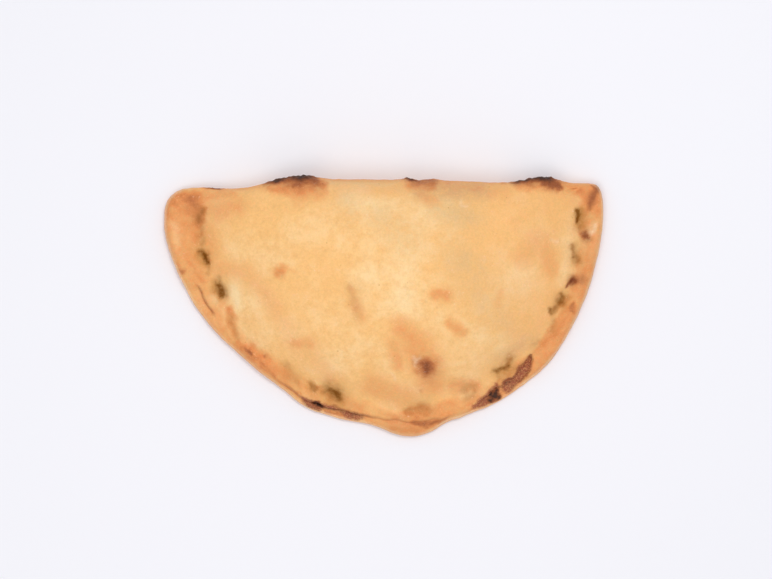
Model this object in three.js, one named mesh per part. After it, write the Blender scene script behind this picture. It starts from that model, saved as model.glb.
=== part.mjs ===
// A calzone: a round of pizza dough folded in half over its filling, sealed along the curved edge and baked.
// Millimetres, +Z up. The fold runs along X on the +Y side and the sealed rim curves round the -Y side.
// The origin is the middle of the flat base. The whole food is one solid, because its filling can't be seen.
import * as THREE from 'three';

const { clamp, degToRad, lerp, radToDeg, smoothstep } = THREE.MathUtils;

// ---- Driving dimensions ----
const LENGTH = 240; // end to end, along the fold
const DEPTH = 144; // from the fold's blisters to the tip of the rim
const CROWN = 40; // height of the filled middle
const RIM_HEIGHT = 9; // both layers of dough where they are pressed together
const LOWER_LAYER = 4.4; // the lower layer alone, where it shows as a lip
const FOLD_WAIST = 12.5; // height of the fold's outermost line above the base
const CREASE_DROP = 1.4; // how far the crease lies below the top of the rim

// ---- Outline, seen from above, as shares of half the length and half the depth ----
// Anticlockwise: the right-hand corner, along the fold, the left-hand corner and round the sealed rim.
const OUTLINE = [
  [0.975, 0.912], [0.83, 0.926], [0.58, 0.924], [0.305, 0.938], [0.02, 0.95], [-0.27, 0.948], [-0.555, 0.905],
  [-0.66, 0.882], [-0.83, 0.896], [-0.934, 0.873], [-0.985, 0.79], [-0.999, 0.61],
  [-0.98, 0.444], [-0.938, 0.254], [-0.87, 0.033], [-0.783, -0.165], [-0.61, -0.442], [-0.449, -0.653],
  [-0.3625, -0.764], [-0.271, -0.825], [-0.184, -0.867], [-0.0975, -0.893], [-0.015, -0.93], [0.058, -0.977],
  [0.127, -0.997], [0.2, -0.974], [0.291, -0.885], [0.364, -0.843], [0.52, -0.736], [0.625, -0.622],
  [0.739, -0.4625], [0.822, -0.279], [0.895, -0.051], [0.945, 0.1625], [0.978, 0.375], [1.0, 0.589],
  [0.999, 0.82],
];

// ---- The spine under the crown, where the two sides of the top meet ----
// Its left-hand end, what its middle bends towards, and its right-hand end: both ends head for the corners.
const SPINE = [[-72, 32.3], [3, -18], [73.7, 33.9]];

// ---- The sealed rim, by bearing: degrees round it from its left-hand end, about a point near the fold ----
const BEARING_Y = 44;
// [bearing, mm from the outline to the crease where the filled middle rises]
const RIM_WIDTH = [
  [-9, 19.6], [0, 20], [9, 17.5], [22, 16.5], [31, 12], [43, 8], [57, 11], [66, 11.5], [75, 12], [90, 13],
  [101, 15], [116, 12.5], [130, 13.5], [145, 11.5], [157, 10.5], [164, 10], [171, 12], [183, 14], [189, 12.6],
];
// The crease runs out over the fold at these distances from the middle: towards -X, towards +X.
const CREASE_ENDS = [98, 107];
// [bearing, mm of the lower layer left showing beyond the edge of the upper one]
const LIP_WIDTH = [
  [0, 0.8], [10, 0.8], [18, 5.4], [28, 5.0], [34, 2.8], [59, 3.0], [64, 3.8], [71, 4.2], [80, 4.9], [86, 4.3],
  [90, 6.0], [95, 8.4], [99, 8.4], [104, 6.2], [108, 2.6], [114, 2.2], [117, 3.2], [122, 7.0], [128, 7.6],
  [137, 6.4], [142, 1.4], [150, 0.8], [180, 0.8],
];
// Where fingers pressed the layers together: [bearing, mm outside the crease, depth, half length, half width]
const PRESSES = [
  [9.2, 0, 3.6, 5, 3], [21.9, 0, 4.0, 5, 3.4], [42.9, 0, 1.2, 5, 3], [57.5, 0, 1.4, 4, 3],
  [66.4, 0, 1.8, 3, 2.6], [74.5, 0, 3.4, 6, 3.6], [101.2, 0, 1.6, 7, 3.4], [130.4, 0, 2.6, 5, 2.6],
  [155.5, 0, 2.4, 5, 2.8], [163.6, 0, 2.6, 3.6, 2.8], [170.6, 0, 2.2, 4.4, 2.6], [176.9, 4, 2.2, 3, 2.6],
  [182.7, 0, 3.8, 4.4, 2.6],
];

// ---- Blisters and swells ----
// Scorched blisters on the fold: [x of the highest point, mm towards -X, mm towards +X, mm proud]
const FOLD_BLISTERS = [[-43, 26, 11, 3.6], [14.6, 8, 4, 1.2], [27, 7, 7, 1.0], [88.5, 19, 11, 3.4]];
// Bubbles under the top crust: [x, y, radius, height]
const BUBBLES = [
  [-55.6, 18.8, 6, 1.0], [30.6, 7.3, 8, 0.8], [40.4, -12.5, 8, 0.9], [23.4, -32.2, 8, 1.6],
  [13.6, -15.7, 14, 1.0], [62.9, -0.9, 8, 0.6], [-42.4, -19.6, 11, 0.7], [71.7, 43.5, 12, 0.9],
  [-12, -3, 9, 0.6],
];

// ---- Facets ----
const COLUMNS = 176; // round the outline
const TOP_ROWS = 12; // from the spine to the crease
const BASE_ROWS = 2; // from below the crease to the middle of the base

const outline = new THREE.CatmullRomCurve3(
  OUTLINE.map(([x, y]) => new THREE.Vector3(x * LENGTH / 2, y * DEPTH / 2, 0)), true, 'centripetal',
);
outline.arcLengthDivisions = 2400;
const traced = outline.getSpacedPoints(1200);
const leftness = traced.map((p) => p.y - p.x);
const corner = leftness.indexOf(Math.max(...leftness)); // the left-hand corner, where the fold meets the rim
const CORNER_SHARE = corner / (traced.length - 1);

const hill = (x) => Math.exp(-x * x);

// Reads rows of [at, value], going from one to the next by the easing.
function keyed(rows, at, easing = (x, a, b) => (x - a) / (b - a)) {
  if (at <= rows[0][0]) return rows[0][1];
  const i = rows.findIndex(([a]) => at <= a);
  if (i < 0) return rows.at(-1)[1];
  const [[a, from], [b, to]] = [rows[i - 1], rows[i]];
  return lerp(from, to, easing(at, a, b));
}

function bearing(x, y) {
  const degrees = radToDeg(Math.atan2(BEARING_Y - y, -x));
  return degrees < -90 ? degrees + 360 : degrees;
}

const reachFrom = (x, y) => Math.hypot(x, y - BEARING_Y);
const rimReach = traced.slice(corner).map((p) => [bearing(p.x, p.y), reachFrom(p.x, p.y)]);
const foldEdge = traced.slice(0, corner).map((p) => [p.x, p.y]).sort((a, b) => a[0] - b[0]);

// How far the crease is from the bearings' centre.
function creaseReach(turn) {
  const toLeft = Math.cos(degToRad(turn));
  const runningOut = CREASE_ENDS[toLeft > 0 ? 0 : 1] / Math.max(Math.abs(toLeft), 1e-6);
  if (turn < -9 || turn > 189) return runningOut;
  return Math.min(runningOut, keyed(rimReach, turn) - keyed(RIM_WIDTH, turn, smoothstep));
}

// The same evened out, for the crown, which doesn't follow every wave of the crease.
const evenReach = (turn) => [-24, -12, 0, 12, 24].reduce((sum, off) => sum + creaseReach(turn + off) / 5, 0);

// How far in from a point of the outline a line meets the crease.
function creaseDistance(edge, inward) {
  let s = 0;
  for (let i = 0; i < 8; i++) {
    const { x, y } = edge.clone().addScaledVector(inward, s);
    s += reachFrom(x, y) - creaseReach(bearing(x, y));
  }
  return Math.max(s, 0);
}

const spine = new THREE.QuadraticBezierCurve3(...SPINE.map(([x, y]) => new THREE.Vector3(x, y, 0)));

// A hump with a long side towards -X and a short one towards +X.
function blister([top, before, after, proud], x) {
  return proud * hill((x - top) / (x < top ? before : after) * 1.5);
}

function bubbles(x, y) {
  return BUBBLES.reduce((sum, [bx, by, r, h]) => sum + h * hill(Math.hypot(x - bx, y - by) / r * 1.3), 0);
}

// How much of the filling's height there is along the fold: none at the corners, all of it between them.
const filled = (x) => smoothstep(LENGTH / 2 - Math.abs(x), 4, 80);
const waist = (x) => lerp(LOWER_LAYER, FOLD_WAIST, filled(x));

// The top crust: it swells over the filling from the crease on one side and rounds over the fold on the other.
function topCrust(x, y) {
  const [turn, reach] = [bearing(x, y), reachFrom(x, y)];
  const even = smoothstep(1 - reach / evenReach(turn), 0, 0.4);
  const fromCrease = clamp(1 - reach / lerp(creaseReach(turn), evenReach(turn), even), 0, 1);
  const fromFold = clamp((keyed(foldEdge, x) - y) / lerp(14, 64, filled(x)), 0, 1);
  const swell = (1 - (1 - fromCrease) ** 3) ** 0.92;
  const bend = (1 - (1 - fromFold) ** 3.1) ** 0.48;
  const broadLumps = 0.9 * Math.sin(x / 17 + 0.6) * Math.cos(y / 15 - 0.4);
  const lumps = broadLumps + 0.5 * Math.sin(x / 9.5 - y / 12 + 1.9) + bubbles(x, y);
  const crown = lerp(CROWN, RIM_HEIGHT, 0.5 * (2 * x / LENGTH) ** 2) + lumps;
  return lerp(waist(x), lerp(RIM_HEIGHT - CREASE_DROP, crown, swell), bend);
}

// One section: rows of [x, y, z] from the spine, down over the rim or the fold, and back along the base.
function section(around) {
  const onFold = around < 0.5;
  const share = onFold ? 2 * around * CORNER_SHARE : CORNER_SHARE + (2 * around - 1) * (1 - CORNER_SHARE);
  const edge = outline.getPointAt(share % 1);
  const middle = spine.getPoint(Math.abs(2 * around - 1));
  const fold = onFold ? smoothstep(LENGTH / 2 - Math.abs(edge.x), 3, 24) : 0;
  const turn = bearing(edge.x, edge.y);
  const reach = reachFrom(edge.x, edge.y);
  const inward = middle.clone().sub(edge).normalize();
  const rim = creaseDistance(edge, inward);
  const lip = keyed(LIP_WIDTH, turn, smoothstep);
  const wave = 0.6 * Math.sin(degToRad(turn) * 7 + 1) + 0.4 * Math.sin(degToRad(turn) * 17);
  const press = (s) => PRESSES.reduce((sum, [at, outside, depth, halfLength, halfWidth]) => (
    sum + depth * hill(degToRad(turn - at) * reach / halfLength) * hill((s - rim + outside) / halfWidth)
  ), 0) * (1 - fold);
  const proud = FOLD_BLISTERS.reduce((sum, b) => sum + blister(b, edge.x), 0) * fold;

  const rows = [];
  const place = (p, z) => rows.push([p.x, p.y, Math.max(z, 0)]);
  const at = (s) => edge.clone().addScaledVector(inward, s);

  const foot = at(lerp(Math.max(rim, 6), 14, fold));
  for (let j = 0; j <= TOP_ROWS; j++) {
    const outward = 1 - (1 - j / TOP_ROWS) ** 1.35;
    const p = middle.clone().lerp(foot, outward);
    const s = foot.distanceTo(p) + rim;
    place(p, topCrust(p.x, p.y) + outward * (proud * 0.3 * hill(s / 14) - press(s)));
  }

  // Each row down the side: [mm in, height] on the rim, then on the fold.
  const overFold = (s) => {
    const p = at(s);
    return [s - proud * hill(s / 9), topCrust(p.x, p.y) + proud * 0.5 * hill(s / 8)];
  };
  const belt = waist(edge.x);
  const groove = lerp(0.5, 1.6, smoothstep(lip, 1, 3));
  const side = [
    [[lerp(lip, rim, 0.6), RIM_HEIGHT + wave], overFold(9)],
    [[lip + 2.4, RIM_HEIGHT - 0.5 + wave], overFold(5)],
    [[lip + 0.6, RIM_HEIGHT - 1.7 + wave * 0.7], overFold(2.4)],
    [[lip, RIM_HEIGHT - 3.1 + wave * 0.4], overFold(0.8)],
    [[lip + groove, LOWER_LAYER + 0.3], [-proud, belt + 0.16 * belt]],
    [[lerp(0.9, lip, 0.5), LOWER_LAYER], [-proud * 0.9, belt]],
    [[0.6, LOWER_LAYER - 0.9], [0.1 - proud * 0.7, belt * 0.75]],
    [[0, LOWER_LAYER / 2], [1.1 - proud * 0.4, belt * 0.5]],
    [[1.2, 0.6], [3.6, belt * 0.18]],
    [[4.5, 0], [9, 0]],
  ];
  for (const [onRim, onBend] of side) {
    const s = lerp(onRim[0], onBend[0], fold);
    place(at(s), lerp(onRim[1], onBend[1], fold) - press(s) * clamp(s / 3, 0, 1));
  }
  for (let j = 0; j <= BASE_ROWS; j++) place(foot.clone().lerp(middle, j / BASE_ROWS), 0);
  return rows;
}

// The whole crust as one closed skin over the sections, its facets split along their shorter diagonals.
function crust() {
  const sections = Array.from({ length: COLUMNS }, (_, i) => section(i / COLUMNS));
  const rowCount = sections[0].length;
  const corners = sections.flat().map((p) => new THREE.Vector3(...p));
  const index = [];
  for (let i = 0; i < COLUMNS; i++) {
    for (let j = 0; j < rowCount - 1; j++) {
      const a = i * rowCount + j;
      const d = ((i + 1) % COLUMNS) * rowCount + j;
      const [b, c] = [a + 1, d + 1];
      const alongB = corners[b].distanceTo(corners[d]) < corners[a].distanceTo(corners[c]);
      index.push(...(alongB ? [a, b, d, b, c, d] : [a, b, c, a, c, d]));
    }
  }
  const geometry = new THREE.BufferGeometry().setFromPoints(corners);
  geometry.setIndex(index);
  geometry.computeVertexNormals();
  return geometry;
}

const calzone = new THREE.Mesh(
  crust(), new THREE.MeshStandardMaterial({ color: 0xf2c085, roughness: 0.68, metalness: 0 }),
);
calzone.name = 'calzone';

const part = new THREE.Group();
part.add(calzone);

export default part;
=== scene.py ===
"""A baked calzone with its oven colours, on a plain pale table."""

import bpy
import numpy as np
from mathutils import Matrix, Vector, noise


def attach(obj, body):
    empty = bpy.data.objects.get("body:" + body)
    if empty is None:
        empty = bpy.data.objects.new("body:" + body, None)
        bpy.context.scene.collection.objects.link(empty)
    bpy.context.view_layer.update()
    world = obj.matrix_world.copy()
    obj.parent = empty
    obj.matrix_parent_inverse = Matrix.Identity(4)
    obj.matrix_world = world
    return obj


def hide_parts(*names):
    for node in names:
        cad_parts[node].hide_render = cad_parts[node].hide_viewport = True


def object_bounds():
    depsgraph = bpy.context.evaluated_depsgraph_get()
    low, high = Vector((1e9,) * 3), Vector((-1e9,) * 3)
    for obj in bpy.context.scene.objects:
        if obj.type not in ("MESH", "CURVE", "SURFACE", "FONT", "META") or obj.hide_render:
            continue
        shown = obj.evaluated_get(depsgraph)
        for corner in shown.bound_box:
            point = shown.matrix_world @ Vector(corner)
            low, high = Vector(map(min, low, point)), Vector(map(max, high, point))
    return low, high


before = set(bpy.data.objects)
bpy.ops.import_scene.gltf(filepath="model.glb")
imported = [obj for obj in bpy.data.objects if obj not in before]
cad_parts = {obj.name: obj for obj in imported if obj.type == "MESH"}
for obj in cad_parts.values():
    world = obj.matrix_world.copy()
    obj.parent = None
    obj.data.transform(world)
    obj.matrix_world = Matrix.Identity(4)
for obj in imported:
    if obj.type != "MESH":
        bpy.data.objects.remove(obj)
cad_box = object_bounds()

bl_info = {
    "name": "Baked calzone",
    "version": (1, 0, 0),
    "blender": (4, 5, 0),
    "location": "3D View > Sidebar > Calzone",
    "description": "Shapes and browns a calzone, and lays it on a pale table under soft light",
    "category": "Add Mesh",
}

MM = 0.001

# ---- The form, in millimetres and degrees. It follows the solid, with finer detail. ----
# Outline from above, as shares of half the length and half the depth, anticlockwise from the right-hand
# corner, along the fold, round the left-hand corner and along the sealed rim.
OUTLINE = [
    (0.975, 0.912), (0.83, 0.926), (0.58, 0.924), (0.305, 0.938), (0.02, 0.95), (-0.27, 0.948),
    (-0.555, 0.905), (-0.66, 0.882), (-0.83, 0.896), (-0.934, 0.873), (-0.985, 0.79), (-0.999, 0.61),
    (-0.98, 0.444), (-0.938, 0.254), (-0.87, 0.033), (-0.783, -0.165), (-0.61, -0.442),
    (-0.449, -0.653), (-0.3625, -0.764), (-0.271, -0.825), (-0.184, -0.867), (-0.0975, -0.893),
    (-0.015, -0.93), (0.058, -0.977), (0.127, -0.997), (0.2, -0.974), (0.291, -0.885),
    (0.364, -0.843), (0.52, -0.736), (0.625, -0.622), (0.739, -0.4625), (0.822, -0.279),
    (0.895, -0.051), (0.945, 0.1625), (0.978, 0.375), (1, 0.589), (0.999, 0.82),
]
# The spine under the crown: left-hand end, what its middle bends towards, right-hand end. Each end lies
# straight between that middle point and a corner of the outline, so the mesh runs on past it without a fold.
SPINE = [(-72.4, 31.7), (3, -18), (73.7, 33.9)]
# Bearings run round the rim from its left-hand end, about a point that is this far back from the middle.
BEARING_Y = 44
# (bearing, width of the rim from the outline to the crease)
RIM_WIDTH = [
    (-9, 19.6), (0, 20), (9, 17.5), (22, 16.5), (31, 12), (43, 8), (57, 11), (66, 11.5), (75, 12),
    (90, 13), (101, 15), (116, 12.5), (130, 13.5), (145, 11.5), (157, 10.5), (164, 10), (171, 12),
    (183, 14), (189, 12.6),
]
# The crease runs out over the fold at these distances from the middle: towards -X, towards +X.
CREASE_ENDS = (98, 107)
# (bearing, how much of the lower layer shows beyond the upper one)
LIP_WIDTH = [
    (0, 4), (14, 6), (18.6, 7), (28, 5.6), (34, 3.2), (45, 2.4), (59, 3), (64, 3.8), (71, 4.2),
    (80, 4.9), (86, 4.3), (90, 6), (95, 8.4), (99, 8.4), (104, 6.2), (108, 2.6), (114, 1.8),
    (116.5, 2.6), (121, 5.8), (124.4, 8.2), (126.4, 6), (128.2, 6.6), (131, 3.4), (135, 1.6),
    (142, 0.8), (180, 0.8),
]
# (bearing, how far the two layers have baked into one, from 0 to 1)
FUSED = [
    (12, 1), (17, 0.95), (19, 0.3), (26.5, 0.3), (29, 0.92), (36, 0.92), (52, 0.84), (62, 0.3), (70, 0),
    (84, 0.1), (90, 0.6), (104, 0.6), (112, 0.85), (117, 0.3), (121, 0), (129, 0.1), (134, 0.6),
    (142, 0.8), (190, 0.85),
]
# Finger presses: (bearing, outside the crease by, depth, half length, half width)
PRESSES = [
    (9.2, 0, 3.6, 5, 3), (21.9, 0, 4, 5, 3.4), (42.9, 0, 1.2, 5, 3), (57.5, 0, 1.4, 4, 3),
    (66.4, 0, 1.8, 3, 2.6), (74.5, 0, 3.4, 6, 3.6), (101.2, 0, 1.6, 7, 3.4), (130.4, 0, 2.6, 5, 2.6),
    (155.5, 0, 2.4, 5, 2.8), (163.6, 0, 2.6, 3.6, 2.8), (170.6, 0, 2.2, 4.4, 2.6),
    (176.9, 4, 2.2, 3, 2.6), (182.7, 0, 3.8, 4.4, 2.6),
]
# Blisters on the fold: (x of the highest point, reach towards -X, reach towards +X, proud by)
FOLD_BLISTERS = [
    (-59, 8, 8, 0.9), (-43, 26, 14, 3.8), (14.6, 8, 4, 1.4), (27, 7, 7, 1), (85.2, 19, 17, 4.8),
]
# Bubbles under the top crust: (x, y, radius, height)
BUBBLES = [
    (-55.6, 18.8, 6, 1), (30.6, 7.3, 8, 0.8), (40.4, -12.5, 8, 0.9), (23.4, -32.2, 8, 1.6),
    (13.6, -15.7, 14, 1), (62.9, -0.9, 8, 0.6), (-42.4, -19.6, 11, 0.7), (71.7, 43.5, 12, 0.9),
    (-12, -3, 9, 0.6),
]

# How far in from the outline the fold's rounding ends: at the calzone's ends, and in its middle.
FOLD_ROUNDING = (14, 64)
# How far in the rows of the side begin: at least, on the rim, and on the fold.
SIDE_WIDTH = (6, 14)
# Steps along each span of the outline's curve, and round all of it to tell the rim from the fold.
STEPS_PER_SPAN = 60
OUTLINE_STEPS = 1200
# The mesh: columns round the crust, then rows from the spine to the foot of the crown, down each stretch of
# the side, and under the base.
COLUMNS = 800
TOP_ROWS = 56
SIDE_STEPS = (4, 5, 4, 4, 3, 7, 4, 3, 3, 3)
BASE_ROWS = 14
# Its row at the top of the outermost edge, where what shows from above ends, and its first base row.
LIP_ROW = TOP_ROWS + sum(SIDE_STEPS[:7])
BASE_ROW = TOP_ROWS + sum(SIDE_STEPS) + 1
# The fine unevenness of the crust: (size of its lumps, octaves, seed, share of the relief)
RELIEF = [(15, 1, 1, 0.45), (6, 2, 2, 0.35), (2.4, 1, 4, 0.22)]

# ---- What baking left on it, and painted shade, seen from above: ([(x, y, half width), ...], strength) ----
# Golden to toasted brown, and some painted shade where the fold's top turns away from the light.
BROWNED_AND_SHADE = [
    # on the crown
    ([(-55.5, 18, 4), (-54, 19, 3)], 0.8),
    ([(-52, 19, 1.8), (-48, 19, 1.6)], 0.26),
    ([(27, 6.5, 4), (33, 6, 5)], 0.54),
    ([(35, -8, 3), (40.5, -13, 4.5), (44.5, -14.5, 2.8)], 0.54),
    ([(10, -11, 8), (18.5, -23.5, 12), (26.5, -40.5, 12)], 0.5),
    ([(23, -32.5, 9.5)], 0.7),
    ([(24, -32.5, 6.5)], 1),
    ([(23.5, -32, 9)], 0.8),
    ([(5.5, -21, 6), (8.5, -32, 5)], 0.5),
    ([(38.5, -43, 6.5), (52, -44.5, 5.5)], 0.5),
    # painted shade along the top of the fold, where it turns away from the light
    ([(-25, 63, 6), (10, 62, 5)], 0.24),
    ([(30, 62, 6), (66, 62, 8)], 0.34),
    ([(9, -11, 6), (14.5, -21, 6.5)], 0.46),
    ([(-6, -43, 8.5), (12, -50, 10)], 0.44),
    ([(20.5, -47, 2.7)], 0.4),
    ([(70, 45, 7), (73.5, 37.5, 5)], 0.24),
    ([(76, 26, 11), (84.5, 34.5, 12), (92, 18, 8)], 0.44),
    ([(61.5, 1.5, 5), (64, 8.5, 3)], 0.32),
    ([(-93.5, 20.5, 7.5), (-74.5, 18, 8.5), (-63.5, 5.5, 7)], 0.36),
    ([(-63.5, 5.5, 7), (-50.5, -16, 8.5), (-37, -26.5, 8.5), (-26, -40.5, 7.5)], 0.32),
    ([(-48, -20, 5.5), (-38.5, -20.5, 5)], 0.5),
    ([(-17.5, 8.5, 3.5), (-14.5, 0, 4.5), (-10.5, -6.5, 3.5)], 0.34),
    # down the left-hand rim
    ([(-114, 57.5, 4.5), (-111, 47, 5), (-108.5, 33, 4)], 0.64),
    ([(-113.5, 55.5, 5)], 0.9),
    ([(-108.5, 58.5, 5), (-103, 57, 7), (-100, 49, 5)], 0.96),
    ([(-104, 61, 4)], 0.7),
    ([(-99.5, 52, 4), (-99.5, 46.5, 4), (-101, 43, 3.5)], 0.95),
    ([(-102, 52, 11), (-91.5, 52.5, 10), (-80, 54, 9)], 0.44),
    ([(-97, 42, 9), (-93, 28, 8)], 0.4),
    ([(-104, 61, 5), (-96.5, 60, 6), (-82.5, 60.5, 5)], 0.52),
    ([(-102, 43.5, 4), (-103, 35.5, 4.5)], 0.7),
    ([(-106.5, 23.5, 2.7), (-102, 17, 2.7), (-98.5, 13, 2.2)], 0.72),
    ([(-102, 30, 4), (-104.5, 25, 2.7)], 0.62),
    ([(-84, -2, 3.5), (-83, -9, 4), (-81, -16.5, 4)], 0.64),
    ([(-79, -21.5, 4), (-72.5, -27, 4.5), (-65.5, -31.5, 4.5)], 0.84),
    ([(-75.5, -24.5, 2.2), (-71.5, -26.5, 2.4)], 1.12),
    ([(-66, -32, 3), (-59, -38.5, 3)], 0.92),
    ([(-59, -34, 4), (-54, -39.5, 3.5)], 0.62),
    ([(-72, -24, 3.5), (-66.5, -28, 5), (-60.5, -33.5, 5), (-54, -38.5, 4)], 0.72),
    ([(-54, -35, 2.7), (-47.5, -43, 2.2)], 0.55),
    ([(-52.5, -45, 1.3), (-45.5, -48.5, 1.3)], 0.66),
    ([(-109.5, 19, 2.4)], 1.15),
    # along the front
    ([(-31.5, -58, 1.7), (-23.5, -60, 1.9), (-18, -62, 1.6)], 1.05),
    ([(-35.5, -45, 2.7), (-29, -51, 3.5), (-21, -53, 2.7)], 0.56),
    ([(13, -58.5, 2.7), (19, -59, 2.9), (25.5, -58.5, 2.2)], 0.76),
    ([(15.5, -56, 4), (27.5, -56.5, 3.5)], 0.6),
    ([(16, -64, 2.4), (23, -65, 3), (30.5, -63.5, 2.4)], 0.92),
    ([(0.5, -63, 2.2), (11.5, -64.5, 2.2)], 0.6),
    ([(5, -67.5, 4), (18, -68.5, 5)], 0.68),
    ([(31, -58.5, 2.2), (39.5, -56.5, 2.7), (49.5, -52.5, 2.2)], 0.6),
    # up the right-hand rim
    ([(68.5, -38.5, 2.7), (74.5, -35, 2.7)], 0.6),
    ([(66.5, -33.5, 2.2), (69, -29.5, 2.4)], 0.5),
    ([(61.5, -43, 1.6), (63.5, -41, 1.6)], 0.66),
    ([(88, -21.5, 3.5), (96.5, -11, 3.5), (102, -2.5, 3.5)], 0.8),
    ([(103, -0.5, 2.4), (103.5, -3, 2.8)], 1.2),
    ([(98, 0, 3.5), (101, 5, 3)], 0.6),
    ([(106, 10.5, 4), (110.5, 20.5, 4.5), (112, 32, 4.5)], 0.68),
    ([(110.5, 37.5, 3.5)], 0.85),
    ([(113, 49.5, 3.5), (115, 33, 2.7)], 0.6),
    ([(116, 63.5, 4.5), (114.5, 60, 5.5), (113, 56.5, 5.5), (112.5, 54, 4)], 1.16),
    ([(111.5, 59.5, 5), (107.5, 62, 4.5)], 0.85),
    ([(108, 50, 2.7), (109, 44.5, 2.7)], 0.56),
    # under the fold's blisters
    ([(-61, 63.5, 3), (-50, 63, 5), (-38.5, 62, 5)], 0.72),
    ([(-48, 65.5, 3.5), (-37.5, 67.5, 4), (-33, 65.5, 3)], 1.1),
    ([(-46, 58, 5), (-33, 60.5, 4.5)], 0.46),
    ([(15, 66, 5), (25.5, 65.5, 5)], 0.76),
    ([(20, 61, 5.5), (26, 57, 5.5)], 0.43),
    ([(32, 64, 5), (54, 63.5, 5)], 0.42),
    ([(73, 65, 4), (84, 65, 4.5), (95, 64.5, 4.5)], 0.66),
    ([(87, 66.5, 3), (92.5, 66, 3.5), (96, 65, 3)], 1.1),
    ([(99.5, 65, 5.5), (108.5, 64, 5.5)], 0.6),
]
# Scorched nearly black in the middle, and two painted shadow lines under the upper layer's edge.
SCORCHED_AND_SHADOWS = [
    ([(22.5, -32, 4.5), (24, -33.5, 5)], 0.8),
    ([(22.5, -32, 2.4), (23.5, -34, 2.6)], 1.05),
    ([(18, -29.5, 1.6), (16, -31.5, 1.3)], 0.3),
    ([(20.5, -46.5, 1.1)], 0.25),
    ([(110, 39, 1.8), (111, 36.5, 2.3)], 1),
    ([(111, 37, 1.6)], 1.35),
    ([(100, 10.5, 1.1), (102, 12, 2), (103.5, 14, 3)], 0.94),
    ([(102.5, 13, 2), (104, 14, 2)], 1.2),
    ([(105, 14.5, 2.5), (108.5, 14.5, 2.5)], 0.52),
    ([(116.5, 64.5, 1.3), (116, 62.5, 1.1)], 0.62),
    ([(115.5, 62, 2.8), (114, 58.5, 3.5), (113, 55, 2.6)], 0.3),
    ([(103, -1.5, 1.4)], 0.2),
    # painted shadow under the upper layer's edge at the front
    ([(18, -64.5, 0.9), (24.5, -64.5, 1.5), (31, -63, 1.2), (34.5, -61.5, 0.8)], 0.5),
    ([(4, -67, 4), (18, -68.5, 5)], 0.14),
    ([(-109.5, 19, 1.4)], 0.5),
    # painted shadow line under the upper layer's edge at the front left
    ([(-33.5, -54, 1.1), (-23.5, -57, 1.3), (-14.5, -59.5, 1.1)], 0.75),
    ([(-64, -28, 1)], 0.5),
    ([(-75, -24.5, 1.7), (-72, -26.5, 1.6)], 0.5),
    ([(-104, 56, 5), (-99.5, 47, 3.5)], 0.22),
    ([(75, 66, 1.6), (82, 66, 1.8)], 0.4),
    ([(87, 66, 2.4), (95, 65, 2.4)], 0.75),
    ([(-52, 66, 3), (-42, 65.5, 3), (-35, 64.5, 3)], 0.36),
    ([(17, 66.5, 2.5), (26, 66.5, 3.5)], 0.42),
]
# Olive-dark dough at the bottom of the pinches, darker also as painted shade in their hollows.
PINCHED_AND_SHADE = [
    # left
    ([(-98.5, 51, 2.2), (-99.5, 46, 2.4)], 0.36),
    ([(-98.5, 42, 1.8), (-98.5, 35, 1.8), (-99, 32, 2.2)], 0.32),
    ([(-100.5, 30, 1.4), (-99, 29, 2.3), (-97.5, 27, 2.1), (-96, 23.5, 1.2)], 1),
    ([(-98.5, 28.5, 1.3), (-97, 26.5, 1.2)], 1.1),
    ([(-95.5, 21.5, 1.4), (-95, 17.5, 1.4)], 0.34),
    ([(-89.5, 15, 1.8), (-91, 11, 2.4), (-91.5, 8.5, 2)], 0.34),
    ([(-89.5, 11, 2.2), (-88.5, 8.5, 2.8), (-87.5, 6, 2)], 0.95),
    ([(-88.5, 8.5, 1.8)], 1.1),
    # a faint one in the middle
    ([(-18, 9.5, 2.5), (-12.5, -5.5, 2.5)], 0.12),
    # front left
    ([(-83, -6.5, 1.6), (-81.5, -12.5, 1.6), (-78.5, -18, 1.6)], 0.24),
    ([(-53, -33, 2.7), (-50, -37.5, 3.5), (-46, -42.5, 2.2)], 0.24),
    ([(-39, -43.5, 1.9), (-37, -45.5, 1.8)], 0.58),
    ([(-29.5, -45.5, 3), (-26.5, -47.5, 4), (-24, -50.5, 3)], 0.92),
    ([(-27.5, -47, 1.9), (-25, -50, 1.6)], 0.95),
    ([(-31, -42.5, 3.5), (-21, -49.5, 3)], 0.22),
    # front
    ([(13.5, -57, 2), (19, -56, 3), (25, -56, 2.6)], 0.28),
    ([(43.5, -46.5, 1.6), (45.5, -43.5, 1.6), (49.5, -44.5, 1.6), (49, -49, 1.6), (45, -49.5, 1.6)], 0.22),
    # front right
    ([(61, -36, 1.8), (63.5, -35, 1.9), (67, -33, 2)], 0.82),
    ([(67, -33, 2.2), (69, -29.5, 2.4)], 0.48),
    ([(62.5, -39.5, 2.4), (68, -37.5, 3), (72.5, -34.5, 2.4)], 0.34),
    ([(82, -21.5, 2.2), (85.5, -19, 1.6)], 0.22),
    # right
    ([(90.5, -2, 1.2), (90.5, -3.5, 1)], 0.8),
    ([(92, -2, 1.5), (94.5, -0.5, 1.8)], 0.46),
    ([(96, 2, 2.7), (97.5, 4.5, 2.4)], 0.76),
    ([(96.5, 2.5, 1.4)], 0.8),
    ([(92.5, -8, 1.8), (91.5, -13.5, 1.6)], 0.3),
    ([(103.5, 31.5, 2.2), (105, 27, 2.7), (106, 23.5, 2.2)], 0.52),
    ([(103.5, 27, 1.1)], 0.8),
    ([(106, 51, 1.5), (105.5, 48, 1.6), (106, 45.5, 1.2)], 1.2),
    ([(106.5, 45, 1.2), (107.5, 42, 1.4)], 0.52),
    ([(109, 49.5, 2.7), (108.5, 44, 2.7)], 0.34),
]
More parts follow.
